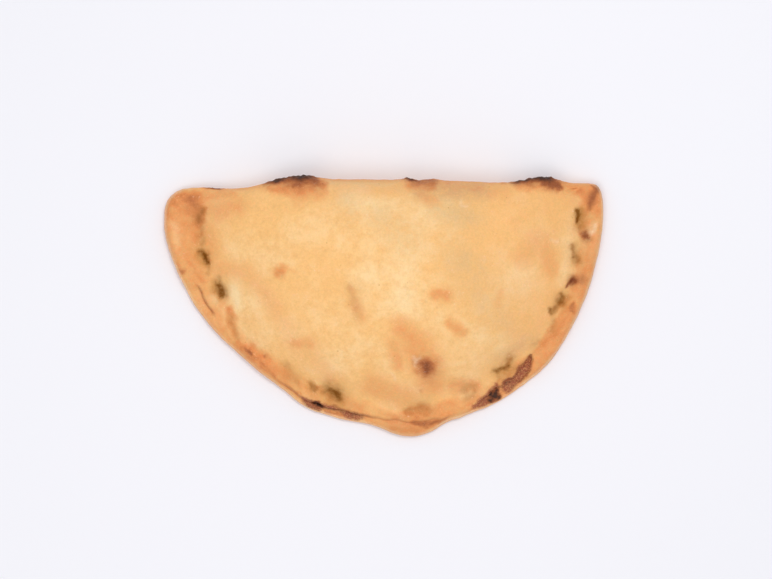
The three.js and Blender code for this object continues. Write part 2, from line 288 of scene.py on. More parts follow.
# Faintly greenish-grey where herbs and damp filling show through the crust, and darker along the top of the
# fold as painted shade where it turns away from the light.
TINTED_AND_SHADE = [
    ([(-1.5, 47, 9), (12.5, 36, 10.5)], 0.55),
    ([(30.5, 52.5, 8.5), (44.5, 48, 10.5)], 0.9),
    ([(-20, 55.5, 7), (-16.5, 48, 8)], 0.5),
    ([(44, 24.5, 8), (49.5, 18, 7)], 0.9),
    ([(46, -46.5, 5)], 0.7),
    ([(61.5, -28.5, 5.5), (80, -19, 5.5)], 0.75),
    ([(-14, 7.5, 5.5)], 0.4),
    ([(24, -54.5, 5)], 0.5),
    ([(15.5, 64.5, 4.5), (9, 62.5, 3)], 0.5),
    ([(-54.5, 68, 3.5), (-45, 62.5, 4)], 0.3),
    # painted shade below the fold's top, where it turns away from the light
    ([(18.5, 62, 5.5), (36, 61.5, 7), (52, 62.5, 6)], 1.3),
    ([(38.5, 30, 12), (52, 6, 12), (66, -13, 10)], 0.55),
    ([(112, 48, 7), (111, 26, 7), (105, 8, 5)], 0.55),
    ([(108, 60, 6)], 0.5),
    # painted shade along the fold's top edge
    ([(-30, 67, 3), (6, 67, 3)], 0.6),
]
# Paler crust.
PALE = [
    ([(-7.5, 22.5, 14), (11, 19, 15), (10, 1, 11.5)], 0.75),
    ([(0.5, -20.5, 9), (-18, -24, 10)], 0.5),
    ([(-69, 36.5, 13), (-71, 3, 11)], 0.34),
    ([(-81, 8.5, 3.5), (-77.5, -0.5, 3.5)], 0.75),
    ([(-57, -12, 8.5), (-28.5, -29.5, 8.5)], 0.4),
    ([(-16.5, -24, 5.5), (-20.5, -18.5, 5)], 0.5),
    ([(77.5, 23.5, 9.5), (87.5, 41, 7.5)], 0.42),
    ([(99.5, 35.5, 3.5), (100, 23.5, 3.5), (96, 14, 4)], 0.62),
    ([(45.5, -13, 7.5), (61, -19.5, 7.5)], 0.5),
    ([(113, 46, 7), (112, 28, 7)], 0.4),
    ([(103, -2, 6), (90, -26, 6)], 0.18),
    ([(99, 48, 6), (99, 36, 6)], 0.7),
    ([(-115, 45, 4.5), (-112, 30, 4.5)], 0.8),
    ([(-93.5, 4, 2.4), (-90.5, 1.5, 2.4)], 0.7),
]
# Flour that stayed on.
FLOURED = [
    ([(113.5, 40.5, 1.5), (115.5, 44, 1.6)], 0.7),
    ([(16.5, -28.5, 0.8), (18.5, -30.5, 0.8), (17.5, -32.5, 0.8), (20, -28, 0.6)], 0.5),
    ([(4.5, -37.5, 1.1), (7, -39.5, 0.8)], 0.3),
    ([(41.5, 54.5, 1.1), (44, 53.5, 0.8)], 0.4),
    ([(91.5, 35, 1.1), (94, 34.5, 0.9)], 0.45),
    ([(54, 24, 1.3)], 0.25),
    ([(81.5, 20.5, 1)], 0.3),
]
# Along the fold's outermost line, charred and toasted: (x, half length, depth inwards, strength)
FOLD_CHAR = [
    (-92.6, 4.5, 1.5, 0.75), (-57, 8, 3, 0.9), (-43.5, 8.5, 4.8, 1), (14.3, 3.6, 2.2, 1),
    (24, 9, 3, 0.3), (75, 8, 3.2, 0.9), (87.5, 9, 5, 1),
]
FOLD_TOAST = [
    (-96, 24, 4, 0.6), (-48, 14, 6, 1.25), (20, 13, 6, 0.58), (40, 24, 5, 0.42), (85, 14, 6, 1.25),
]
# (bearing, how toasted the rim is)
RIM_TOAST = [
    (-9, 0.7), (5, 0.6), (14, 0.54), (22, 0.43), (32, 0.5), (45, 0.58), (58, 0.56), (72, 0.46),
    (88, 0.5), (100, 0.58), (110, 0.54), (118, 0.5), (132, 0.54), (146, 0.66), (158, 0.66),
    (170, 0.58), (180, 0.56), (189, 0.62),
]
# (bearing, how far either side of the crease the browning fades)
RIM_SOFTNESS = [(0, 8), (60, 7), (105, 6), (125, 5), (140, 2.5), (185, 2.5)]
# (bearing, how pale the lower layer's outermost edge is)
EDGE_PALE = [
    (0, 0.5), (18, 0.6), (24, 0.3), (40, 0.3), (62, 0.4), (76, 0.5), (95, 0.3), (112, 0.6), (125, 0.4),
    (140, 0.5), (185, 0.4),
]

# Leaked sauce, baked dry: the corners of each patch.
SAUCE = [
    # on the lip at the front right
    [(49, -54.5), (53.5, -50.5), (57, -47), (60.5, -44), (62, -42.5), (63, -45), (63.5, -48),
     (64.5, -50.5), (62, -52.5), (59.5, -53.5), (56.5, -54), (54, -55), (50, -56)],
    # in the torn place beside it
    [(80.5, -26.5), (81.5, -29.5), (80.5, -33), (80, -36), (78, -38.5), (76, -40.5), (73.5, -42.5),
     (71.5, -45), (68.5, -47.5), (66, -47), (65, -44), (65.5, -41), (68, -39.5), (70.5, -39),
     (72, -37.5), (73, -35.5), (74.5, -33), (77, -30.5), (79, -28)],
    # on the lip at the front left, wide and then narrow under the upper layer
    [(-44.5, -50), (-41, -51), (-38, -52.5), (-34, -53.5), (-33, -55.5), (-35, -58.5),
     (-38.5, -57.5), (-41.5, -56), (-43.5, -53.5)],
    [(-34, -53.5), (-29, -55), (-23.5, -57), (-18, -58.5), (-14, -59), (-10.5, -61.5),
     (-14, -62.5), (-17.5, -62), (-21, -60.5), (-24.5, -58), (-29, -57), (-33.5, -56)],
]
# Which of the patches lies in the torn place, and the height that the crust is torn down to there.
TORN = 1
TORN_HEIGHT = 5
# Where the sauce burnt black: (x, y, radius)
BURNT = [
    (60.8, -49.8, 2.6), (58.9, -52, 1.5), (62.2, -47, 1.4), (61.5, -48.4, 1.6), (63.3, -50.9, 1.6),
    (59.2, -48.4, 1.5), (-35.4, -54.7, 2.3), (-33.8, -55.7, 1.6), (-37.2, -53.7, 1.4),
]

# ---- The stage, in metres ----
TABLE_SIZE = 8.0
# What the camera hangs straight above, and its sensor's width in millimetres, like the lens.
CAMERA_OVER = (0.0015, 0.0087)
SENSOR_WIDTH = 36
# (place, width) of each lamp, which faces the calzone.
BACK_LAMP = ((0.2, 0.32, 1.05), 0.3)
FRONT_LAMP = ((-0.3, -0.4, 1.1), 0.6)
LAMP_COLOUR = (1.0, 0.985, 0.965)
ROOM_COLOUR = (0.95, 0.97, 1.0)


# ---- Settings ----
def length_setting(name, description, default):
    return bpy.props.FloatProperty(
        name=name, description=description, default=default, min=0.0005, unit="LENGTH", subtype="DISTANCE"
    )


def colour_setting(name, description, default):
    return bpy.props.FloatVectorProperty(
        name=name, description=description, default=default, min=0, max=1, size=3, subtype="COLOR"
    )


def power_setting(name, description, default):
    return bpy.props.FloatProperty(name=name, description=description, default=default, min=0, unit="POWER")


class CALZONE_PG_sizes(bpy.types.PropertyGroup):
    """The calzone's sizes"""

    length: length_setting("Length", "End to end, along the fold", 0.240)
    depth: length_setting("Depth", "From the fold to the tip of the rim", 0.144)
    crown: length_setting("Crown", "Height of the filled middle", 0.040)
    rim_height: length_setting("Rim", "Height of both layers where they are pressed together", 0.009)
    lower_layer: length_setting("Lower layer", "Height of the lower layer's lip", 0.0044)
    fold_waist: length_setting("Fold", "Height of the fold's outermost line", 0.0125)
    crease_drop: length_setting("Crease", "Depth of the crease below the top of the rim", 0.0008)
    crease_softness: length_setting("Soft crease", "How far beside the crease the dough rounds", 0.0065)
    relief: length_setting("Relief", "Height of the fine unevenness of the crust", 0.0006)


class CALZONE_PG_colours(bpy.types.PropertyGroup):
    """The crust's colours"""

    pale: colour_setting("Pale crust", "Crust that stayed light", (0.97, 0.71, 0.385))
    golden: colour_setting("Golden crust", "Most of the crust", (0.93, 0.525, 0.195))
    # The damp crust's colour is also made darker for the painted shade along the fold's top.
    greenish: colour_setting("Damp crust", "Where herbs and damp filling show", (0.64, 0.455, 0.225))
    toasted: colour_setting("Toasted crust", "The rim and the first browning", (0.76, 0.275, 0.085))
    brown: colour_setting("Brown crust", "Well browned places", (0.315, 0.09, 0.028))
    char: colour_setting("Char", "Burnt blisters", (0.06, 0.022, 0.012))
    tan: colour_setting("Round the pinches", "Olive-tan dough round the pinches", (0.56, 0.26, 0.055))
    # The pinches' colour serves also as painted shade in their hollows.
    olive: colour_setting("Pinches", "Dough at the bottom of the pinches", (0.24, 0.083, 0.005))
    sauce: colour_setting("Sauce", "Leaked sauce, baked dry", (0.34, 0.085, 0.04))
    flour: colour_setting("Flour", "Dusting and dry edges", (0.95, 0.69, 0.46))


class CALZONE_PG_stage(bpy.types.PropertyGroup):
    """Table, camera and light"""

    table: colour_setting("Table", "Colour of the plain table", (0.9, 0.89, 0.93))
    camera_height: length_setting("Camera height", "Height of the camera straight above", 1.3)
    lens: bpy.props.FloatProperty(
        name="Lens", description="Focal length in millimetres", default=110.5, min=10, unit="CAMERA"
    )
    back_power: power_setting("Back light", "Power of the soft light behind the fold", 3.1)
    front_power: power_setting("Front light", "Power of the soft light in front of the rim", 2.5)
    room_light: bpy.props.FloatProperty(
        name="Room light", description="Strength of the even light all round", default=0.69, min=0
    )


# ---- Small helpers on numbers and arrays ----
def smooth(x, low, high):
    """0 at low and 1 at high, eased between them."""
    t = np.clip((x - low) / (high - low), 0, 1)
    return t * t * (3 - 2 * t)


def lerp(a, b, t):
    return a + (b - a) * t


def hill(x):
    """1 at 0, falling off on both sides."""
    return np.exp(-x * x)


def read_smooth(rows, at):
    """Reads rows of (at, value), easing from one to the next."""
    xs, ys = np.array(rows, float).T
    at = np.clip(at, xs[0], xs[-1])
    i = np.clip(np.searchsorted(xs, at), 1, len(xs) - 1)
    return lerp(ys[i - 1], ys[i], smooth(at, xs[i - 1], xs[i]))


def spline_spans(points, closed):
    """Centripetal spline: the four coefficients of each span between the points, along the first axis."""
    if closed:
        p0, p1, p2, p3 = (np.roll(points, 1 - k, axis=0) for k in range(4))
    else:
        p0, p1, p2, p3 = points[:-3], points[1:-2], points[2:-1], points[3:]
    d0, d1, d2 = (
        np.maximum(np.linalg.norm(b - a, axis=-1, keepdims=True), 1e-4) ** 0.5
        for a, b in ((p0, p1), (p1, p2), (p2, p3))
    )
    t1 = ((p1 - p0) / d0 - (p2 - p0) / (d0 + d1) + (p2 - p1) / d1) * d1
    t2 = ((p2 - p1) / d1 - (p3 - p1) / (d1 + d2) + (p3 - p2) / d2) * d1
    return p1, t1, -3 * p1 + 3 * p2 - 2 * t1 - t2, 2 * p1 - 2 * p2 + t1 + t2


def cubic(c, u):
    """The place a share u along a span with those four coefficients."""
    return c[0] + c[1] * u + c[2] * u * u + c[3] * u**3


def to_path(x, y, points):
    """Distance of each place to a path of points, as a share of the path's half width there."""
    nearest = np.full(np.shape(x), np.inf)
    for (ax, ay, aw), (bx, by, bw) in zip(points, points[1:] or points):
        length = max((bx - ax) ** 2 + (by - ay) ** 2, 1e-9)
        t = np.clip(((x - ax) * (bx - ax) + (y - ay) * (by - ay)) / length, 0, 1)
        away = np.hypot(x - lerp(ax, bx, t), y - lerp(ay, by, t))
        nearest = np.minimum(nearest, away / lerp(aw, bw, t))
    return nearest


def inside_by(x, y, corners):
    """How far each place is inside an outline of corners; negative outside."""
    crossings = np.zeros(np.shape(x), bool)
    for (ax, ay), (bx, by) in zip(corners, corners[1:] + corners[:1]):
        if ay != by:
            crossings ^= ((ay > y) != (by > y)) & (x < (bx - ax) * (y - ay) / (by - ay) + ax)
    away = to_path(x, y, [(*corner, 1) for corner in corners + corners[:1]])
    return np.where(crossings, away, -away)


def streaks(x, y, rows, spread=1.0):
    """The strongest of several soft streaks at each place."""
    return np.max([strength * hill(to_path(x, y, points) / spread) for points, strength in rows], axis=0)


def along_fold(x, away, rows):
    """Soft marks along the fold's outermost line, which run together where they meet."""
    bare = 1.0
    for at, half_length, depth, strength in rows:
        level = strength * hill((x - at) / half_length) * hill(away / depth)
        bare = bare * (1 - np.minimum(level, 1))
    return 1 - bare


def uneven(points, size, octaves, seed):
    """Soft noise from about -1 to 1 over points in millimetres, with lumps of that size."""
    shift = Vector((seed * 17.3, seed * 5.7, seed * 11.9))
    places = points.reshape(-1, 3).tolist()
    lumps = [noise.fractal(Vector(place) / size + shift, 1.0, 2.0, octaves) for place in places]
    return np.reshape(lumps, points.shape[:-1])


def raised(places, height):
    """Points at that height over the places, and never under the table."""
    return np.column_stack([places, np.maximum(height, 0)])


# ---- The form ----
class Form:
    """The calzone's form in millimetres, worked out from its sizes, which it keeps under the same names."""

    def __init__(self, sizes):
        for name in sizes.__annotations__:
            setattr(self, name, getattr(sizes, name) / MM)
        corners = np.array(OUTLINE) * (self.length / 2, self.depth / 2)
        spans = [c[:, None] for c in spline_spans(corners, closed=True)]
        along_span = np.linspace(0, 1, STEPS_PER_SPAN, endpoint=False)[None, :, None]
        loop = cubic(spans, along_span).reshape(-1, 2)
        self.loop = np.vstack([loop, loop[:1]])
        steps = np.linalg.norm(np.diff(self.loop, axis=0), axis=1)
        self.shares = np.concatenate([[0], np.cumsum(steps)]) / steps.sum()
        traced = self.outline(np.linspace(0, 1, OUTLINE_STEPS + 1))
        corner = int(np.argmax(traced[:, 1] - traced[:, 0]))
        self.corner_share = corner / OUTLINE_STEPS
        rim, self.fold_edge = traced[corner:].T, traced[:corner][::-1].T
        self.rim_reach = self.bearing(*rim), self.reach(*rim)

    def outline(self, share):
        """Places a share of the way round: from the right along the fold, and back along the rim."""
        share = np.mod(share, 1)
        return np.stack([np.interp(share, self.shares, self.loop[:, k]) for k in (0, 1)], -1)

    @staticmethod
    def bearing(x, y):
        degrees = np.degrees(np.arctan2(BEARING_Y - y, -x))
        return np.where(degrees < -90, degrees + 360, degrees)

    @staticmethod
    def reach(x, y):
        """How far a place is from the bearings' centre."""
        return np.hypot(x, y - BEARING_Y)

    def crease_reach(self, turn):
        """How far the crease is from the bearings' centre."""
        left = np.cos(np.radians(turn))
        running_out = np.where(left > 0, *CREASE_ENDS) / np.maximum(np.abs(left), 1e-6)
        on_rim = np.interp(turn, *self.rim_reach) - read_smooth(RIM_WIDTH, turn)
        past_rim = (turn < RIM_WIDTH[0][0]) | (turn > RIM_WIDTH[-1][0])
        return np.where(past_rim, running_out, np.minimum(running_out, on_rim))

    def even_reach(self, turn):
        """The same evened out, for the crown, which doesn't follow every wave of the crease."""
        return sum(self.crease_reach(turn + off) for off in (-24, -12, 0, 12, 24)) / 5

    def filled(self, x):
        """How full the calzone is, from 0 at its ends to 1."""
        return smooth(self.length / 2 - np.abs(x), 4, 80)

    def waist(self, x):
        """Height of the fold's outermost line."""
        return lerp(self.lower_layer, self.fold_waist, self.filled(x))

    def lift(self, x, y):
        """How high the filling lifts the top crust above the rim, starting softly outside the crease."""
        turn, reach = self.bearing(x, y), self.reach(x, y)
        even = smooth(1 - reach / self.even_reach(turn), 0, 0.4)
        crease = lerp(self.crease_reach(turn), self.even_reach(turn), even)
        inside, soft = crease - reach, self.crease_softness
        eased = np.where(inside > soft, inside, np.maximum(inside + soft, 0) ** 2 / (4 * soft))
        swell = (1 - (1 - np.clip(eased / crease, 0, 1)) ** 3) ** 0.92
        lumps = 0.9 * np.sin(x / 17 + 0.6) * np.cos(y / 15 - 0.4) + 0.5 * np.sin(x / 9.5 - y / 12 + 1.9)
        for bx, by, radius, height in BUBBLES:
            lumps = lumps + height * hill(np.hypot(x - bx, y - by) / radius * 1.3)
        crown = lerp(self.crown, self.rim_height, 0.5 * (2 * x / self.length) ** 2) + lumps
        return swell * (crown - self.rim_height + self.crease_drop)

    def top(self, x, y):
        """Height of the top crust, which swells from the crease and rounds over the fold."""
        from_fold = np.clip((np.interp(x, *self.fold_edge) - y) / lerp(*FOLD_ROUNDING, self.filled(x)), 0, 1)
        bend = (1 - (1 - from_fold) ** 3.1) ** 0.48
        return lerp(self.waist(x), self.rim_height - self.crease_drop + self.lift(x, y), bend)


class Lines:
    """Lines over the crust from its outline in to the spine, one for each column of the mesh, with what the
    rim and the fold are like on each."""

    def __init__(self, form, count):
        self.form = form
        around = np.arange(count) / count
        back = around < 0.5
        rim_share = self.closer_at_the_splits(np.clip(2 * around - 1, 0, 1))
        share = np.where(back, 2 * around * form.corner_share, lerp(form.corner_share, 1, rim_share))
        self.edge = form.outline(share)
        t = np.abs(2 * around - 1)[:, None]
        left, bend, right = np.array(SPINE, float)
        self.middle = (1 - t) ** 2 * left + 2 * t * (1 - t) * bend + t**2 * right
        inward = self.middle - self.edge
        self.inward = inward / np.linalg.norm(inward, axis=1, keepdims=True)
        self.turn, self.reach = form.bearing(*self.edge.T), form.reach(*self.edge.T)

        # The rim turns into the fold from 3 to 24 mm in from the calzone's ends.
        self.fold = back * smooth(form.length / 2 - np.abs(self.edge[:, 0]), 3, 24)
        self.rim = self.rim_width()
        on_rim, on_fold = SIDE_WIDTH
        self.foot = self.at(lerp(np.maximum(self.rim, on_rim), on_fold, self.fold))
        self.fused = read_smooth(FUSED, self.turn)
        lip, angle = read_smooth(LIP_WIDTH, self.turn), np.radians(self.turn)
        self.lip = np.maximum(lip + 0.3 * np.sin(angle * 43) * smooth(lip, 1, 3), 0.6)
        self.wave = 0.6 * np.sin(angle * 7 + 1) + 0.4 * np.sin(angle * 17)
        self.proud = self.fold * sum(
            height * hill((self.edge[:, 0] - top) / np.where(self.edge[:, 0] < top, before, after) * 1.5)
            for top, before, after, height in FOLD_BLISTERS
        )

    def closer_at_the_splits(self, along):
        """Draws the rim's lines together where the layers split, at bearings 116 to 140 and round 74."""
        fine = np.linspace(0, 1, COLUMNS + 1)
        turn = self.form.bearing(*self.form.outline(lerp(self.form.corner_share, 1, fine)).T)
        crowding = 1 + 0.9 * smooth(turn, 108, 116) * smooth(turn, 148, 140) + 0.6 * hill((turn - 74) / 16)
        spacing = 1 / crowding
        reached = np.concatenate([[0], np.cumsum(2 / (spacing[1:] + spacing[:-1]))])
        return np.interp(along, reached / reached[-1], fine)

    def at(self, s):
        """Places that far in from the outline."""
        return self.edge + self.inward * np.reshape(s, (-1, 1))

    def rim_width(self):
        """How far in the crease is, found in a few rounds."""
        width = np.zeros(len(self.edge))
        for _ in range(8):
            place = self.at(width).T
            width = width + self.form.reach(*place) - self.form.crease_reach(self.form.bearing(*place))
        return np.maximum(width, 0)

    def press(self, s):
        """How deep the finger presses are, that far in."""
        total = sum(
            depth * hill(np.radians(self.turn - at_turn) * self.reach / half_length)
            * hill((s - self.rim + outside) / half_width)
            for at_turn, outside, depth, half_length, half_width in PRESSES
        )
        return total * (1 - self.fold)

    def over_fold(self, s):
        """A place on the fold's rounded top, with its blisters: how far in and how high."""
        height = self.form.top(*self.at(s).T) + self.proud * 0.5 * hill(s / 8)
        return s - self.proud * hill(s / 9), height

    def on_rim(self, s, height, fused_s=None):
        """A place on the rim, evenly rounded where the layers have fused: how far in and how high."""
        s = s if fused_s is None else lerp(s, fused_s, self.fused)
        bulge = np.sqrt(1 - np.clip(1 - (s + 0.35) / 5.5, 0, 1) ** 2.2)
        rounded = self.form.rim_height * bulge + self.wave * smooth(s, 0, 4)
        return s, lerp(height, rounded, self.fused) + self.form.lift(*self.at(s).T)

    def stations(self):
        """Down the side: how far in and how high, on the rim and on the fold."""
        lip, wave, proud, on_rim, over_fold = self.lip, self.wave, self.proud, self.on_rim, self.over_fold
        top, low, belt = self.form.rim_height, self.form.lower_layer, self.form.waist(self.edge[:, 0])
        return [
            (on_rim(lerp(lip, self.rim, 0.6), top + wave), over_fold(9)),
            (on_rim(lip + 2.4, top - 0.4 + wave), over_fold(5)),
            (on_rim(lip + 0.5, top - 1.5 + wave * 0.7), over_fold(2.4)),
            (on_rim(lip - 0.1, top - 3.0 + wave * 0.4), over_fold(0.8)),
            (on_rim(lip + lerp(0.4, 1.4, smooth(lip, 1, 3)), low + 0.1, lip - 0.6), (-proud, belt * 1.16)),
            (on_rim(lerp(0.9, lip, 0.5), low), (-proud * 0.9, belt)),
            (on_rim(0.6 + 0 * lip, low - 0.9), (0.1 - proud * 0.7, belt * 0.75)),
            ((0, low / 2), (1.1 - proud * 0.4, belt * 0.5)),
            ((1.2, 0.6), (3.6, belt * 0.18)),
            ((4.5, 0), (9, 0)),
        ]

    def side(self):
        """Rows of points down the side, through the stations."""
        rows = []
        for (rim_in, rim_up), (fold_in, fold_up) in self.stations():
            s = lerp(rim_in, fold_in, self.fold)
            height = lerp(rim_up, fold_up, self.fold) - self.press(s) * np.clip(s / 3, 0, 1)
            rows.append(raised(self.at(s), height))
        return rows


# ---- The crust's mesh ----
def crust_rows(form, lines):
    """Rows of points from the spine over the rim or the fold to the middle of the base, one on each line."""
    rows = []
    for j in range(TOP_ROWS + 1):
        outward = 1 - (1 - j / TOP_ROWS) ** 1.35
        place = lerp(lines.middle, lines.foot, outward)
        s = np.linalg.norm(lines.foot - place, axis=1) + lines.rim
        height = form.top(*place.T) + outward * (lines.proud * 0.3 * hill(s / 14) - lines.press(s))
        rows.append(raised(place, height))
    flat = np.zeros(len(lines.edge))
    guides = [*rows[-2:], *lines.side(), raised(lerp(lines.foot, lines.middle, 0.15), flat)]
    spans = spline_spans(np.array(guides), closed=False)
    for k, steps in enumerate(SIDE_STEPS):
        for u in np.arange(1, steps + 1) / steps:
            row = cubic([c[k] for c in spans], u)
            rows.append(raised(row[:, :2], row[:, 2]))
    last = rows[-1][:, :2]
    for j in range(1, BASE_ROWS + 1):
        rows.append(raised(lerp(last, lines.middle, j / BASE_ROWS), flat))
    return np.array(rows)


def lay_sauce(points, upper):
    """Lowers the torn place and lays the sauce on it and on the lips. Gives the points, and how far each is
    inside the sauce."""
    x, y, z = np.moveaxis(points, -1, 0)
    lumps, wander = uneven(points, 2.6, 2, seed=3), uneven(points, 3.4, 2, seed=9)
    patches = [inside_by(x, y, corners) + 0.5 * wander for corners in SAUCE]
    inside = np.max(patches, axis=0)
    z = lerp(z, np.minimum(z, TORN_HEIGHT), smooth(patches[TORN], -0.3, 0.9) * upper)
    z = z + upper * smooth(inside, -0.2, 0.9) * (0.35 + 0.45 * lumps)
    for bx, by, radius in BURNT:
        z = z + upper * 0.5 * hill(np.hypot(x - bx, y - by) / radius * 1.2)
    return np.stack([x, y, z], -1), inside


def read_marks(form, lines, points, inside_sauce, upper):
    """What baking left at each point, and painted shade: levels from 0 to 1, but for the sauce, in
    millimetres inside it.
    """
    x, y, z = np.moveaxis(points, -1, 0)
    turn, fold, lip = lines.turn, lines.fold, lines.lip
    inset = ((points[..., :2] - lines.edge) * lines.inward).sum(axis=-1)
    drift = uneven(points, 13, 2, seed=6)
    stray, fray = uneven(points, 4.4, 4, seed=7), uneven(points, 4.4, 4, seed=8)
    # The marks' edges wander, and the rim's browning runs unevenly into the crown.
    x, y = x + 1.5 * stray, y + 1.5 * fray
    soft = read_smooth(RIM_SOFTNESS, turn)
    on_rim = (1 - fold) * smooth((lines.rim - inset) / soft + 0.5 * drift + 0.2 * stray, -1, 1)
    outwards = np.stack([x, y - BEARING_Y]) / np.maximum(form.reach(x, y), 1)
    crown = smooth(z, form.rim_height, 0.8 * form.crown)
    from_fold = np.maximum(inset + lines.proud, 0)
    round_fold = np.hypot(from_fold, 0.5 * np.maximum(form.waist(x) - z, 0))

    browned_and_shaded = [
        upper * streaks(x, y, BROWNED_AND_SHADE),
        on_rim * read_smooth(RIM_TOAST, turn) * (1 + 0.2 * drift + 0.2 * stray),
        # painted shade: browner lower down the crown and towards the right-hand end, where the dome is less
        # lit
        0.1 * (1 - crown) + 0.05 + 0.13 * smooth(x, 10, 80),
        fold * along_fold(x + 2 * drift, round_fold, FOLD_TOAST),
        # painted shade along the fold's outermost line, where it turns away from the light
        0.5 * fold * hill(from_fold / 2.4),
        (1 - upper) * lerp(0.62, 0.5, smooth(z, 0.5, 4)) * (1 - 0.3 * fold),
    ]
    # Painted shade in the groove under the upper layer's edge, where the layers have not fused.
    groove_shade = (1 - fold) * (1 - lines.fused) * smooth(lip, 1.2, 3) * hill((inset - lip - 0.3) / 0.7)
    char = fold * along_fold(x + 2 * drift, np.maximum(round_fold + 0.7 * stray, 0), FOLD_CHAR)
    burnt = np.max([hill(np.hypot(x - bx, y - by) / r) for bx, by, r in BURNT], axis=0) * upper
    pale_edge = (1 - fold) * read_smooth(EDGE_PALE, turn) * hill((inset - 0.7) / 0.7) * smooth(z, 1.2, 2.4)
    return {
        "browned_and_shaded": np.max(browned_and_shaded, axis=0),
        "scorched_and_shaded": np.maximum(upper * streaks(x, y, SCORCHED_AND_SHADOWS), 0.62 * groove_shade),
        "pinched_and_shaded": upper * streaks(x, y, PINCHED_AND_SHADE),
        "round_pinches": upper * streaks(x - 1.6 * outwards[0], y - 1.6 * outwards[1], PINCHED_AND_SHADE, 1.9),
        "tinted_and_shaded": upper * streaks(x, y, TINTED_AND_SHADE),
        "pale": np.maximum(upper * streaks(x, y, PALE), pale_edge),
        "floured": np.maximum(pale_edge, upper * streaks(x, y, FLOURED)),
        "charred": np.maximum(char, burnt),
        "sauce": np.clip(np.where(upper > 0.5, inside_sauce, -4), -4, 4),
    }


def weld_rows(columns, row_count):
    """Four-sided faces between neighbouring columns of the grid, facing outwards. The first and the last
    row run along the spine and back, so their columns are welded in pairs."""
    index = np.arange(row_count * columns).reshape(row_count, columns)
    there = np.arange(columns)
    pairs = np.minimum(there, -there % columns)
    index[0], index[-1] = index[0, pairs], index[-1, pairs]
    upper, lower = index[:-1], index[1:]
    return np.stack([upper, lower, np.roll(lower, -1, 1), np.roll(upper, -1, 1)], -1).reshape(-1, 4)


def roughen(points, normals, marks, relief):
    """Moves the points in or out by the crust's relief, more so where it charred, and not on the base."""
    proud = sum(share * uneven(points, size, octaves, seed) for size, octaves, seed, share in RELIEF)
    crusty = np.clip(marks["charred"] * 1.4 + 0.3 * marks["scorched_and_shaded"], 0, 1)
    proud = proud * relief + crusty * (0.8 * uneven(points, 3.2, 2, seed=5) - 0.3)
    proud = proud * (1 - marks["under"]) * smooth(points[:, 2], 0, 2)
    points = points + normals * proud[:, None]
    points[:, 2] = np.maximum(points[:, 2], 0)
    low, high = (np.array(corner) / MM for corner in cad_box)
    return np.clip(points, low, high)


def crust_mesh(form):
    """The crust as one closed mesh, with its relief and its marks."""
    lines = Lines(form, COLUMNS)
    points = crust_rows(form, lines)
    row = np.arange(len(points))[:, None]
    upper = 1 - smooth(row, LIP_ROW - 1, LIP_ROW + 3)
    points, inside_sauce = lay_sauce(points, upper)
    marks = read_marks(form, lines, points, inside_sauce, upper)
    marks["under"] = np.broadcast_to(smooth(row, BASE_ROW - 7, BASE_ROW + 1), inside_sauce.shape)

    used, faces = np.unique(weld_rows(COLUMNS, len(points)), return_inverse=True)
    points = points.reshape(-1, 3)[used]
    marks = {name: level.reshape(-1)[used] for name, level in marks.items()}
    mesh = bpy.data.meshes.new("baked_crust")
    mesh.from_pydata((points * MM).tolist(), [], faces.reshape(-1, 4).tolist())
    normals = np.empty(points.size, np.float32)
    mesh.vertex_normals.foreach_get("vector", normals)
    points = roughen(points, normals.reshape(-1, 3), marks, form.relief)
    mesh.vertices.foreach_set("co", (points * MM).astype(np.float32).reshape(-1))
    for name, level in marks.items():
        mesh.attributes.new(name, "FLOAT", "POINT").data.foreach_set("value", level.astype(np.float32))
    mesh.polygons.foreach_set("use_smooth", np.ones(len(mesh.polygons), bool))
    mesh.update()
    return mesh


# ---- Finishes ----
class Field:
    """A socket of a finish. Arithmetic on it adds Math nodes."""

    def __init__(self, finish, socket):
        self.finish, self.socket = finish, socket

    def math(self, operation, *values):
        return self.finish.node("ShaderNodeMath", {"operation": operation}, values)

    def __add__(self, other):
        return self.math("ADD", self, other)

    def __sub__(self, other):
        return self.math("SUBTRACT", self, other)

    def __rsub__(self, other):
        return self.math("SUBTRACT", other, self)

    def __mul__(self, other):
        return self.math("MULTIPLY", self, other)

    __radd__ = __add__
    __rmul__ = __mul__

    def at_least(self, other):
        return self.math("MAXIMUM", self, other)

    def at_most(self, other):
        return self.math("MINIMUM", self, other)

    def rise(self, low, high):
        """0 at low and 1 at high, smooth between them."""
        values = {"Value": self, "From Min": low, "From Max": high}
        return self.finish.node("ShaderNodeMapRange", {"interpolation_type": "SMOOTHSTEP"}, values)


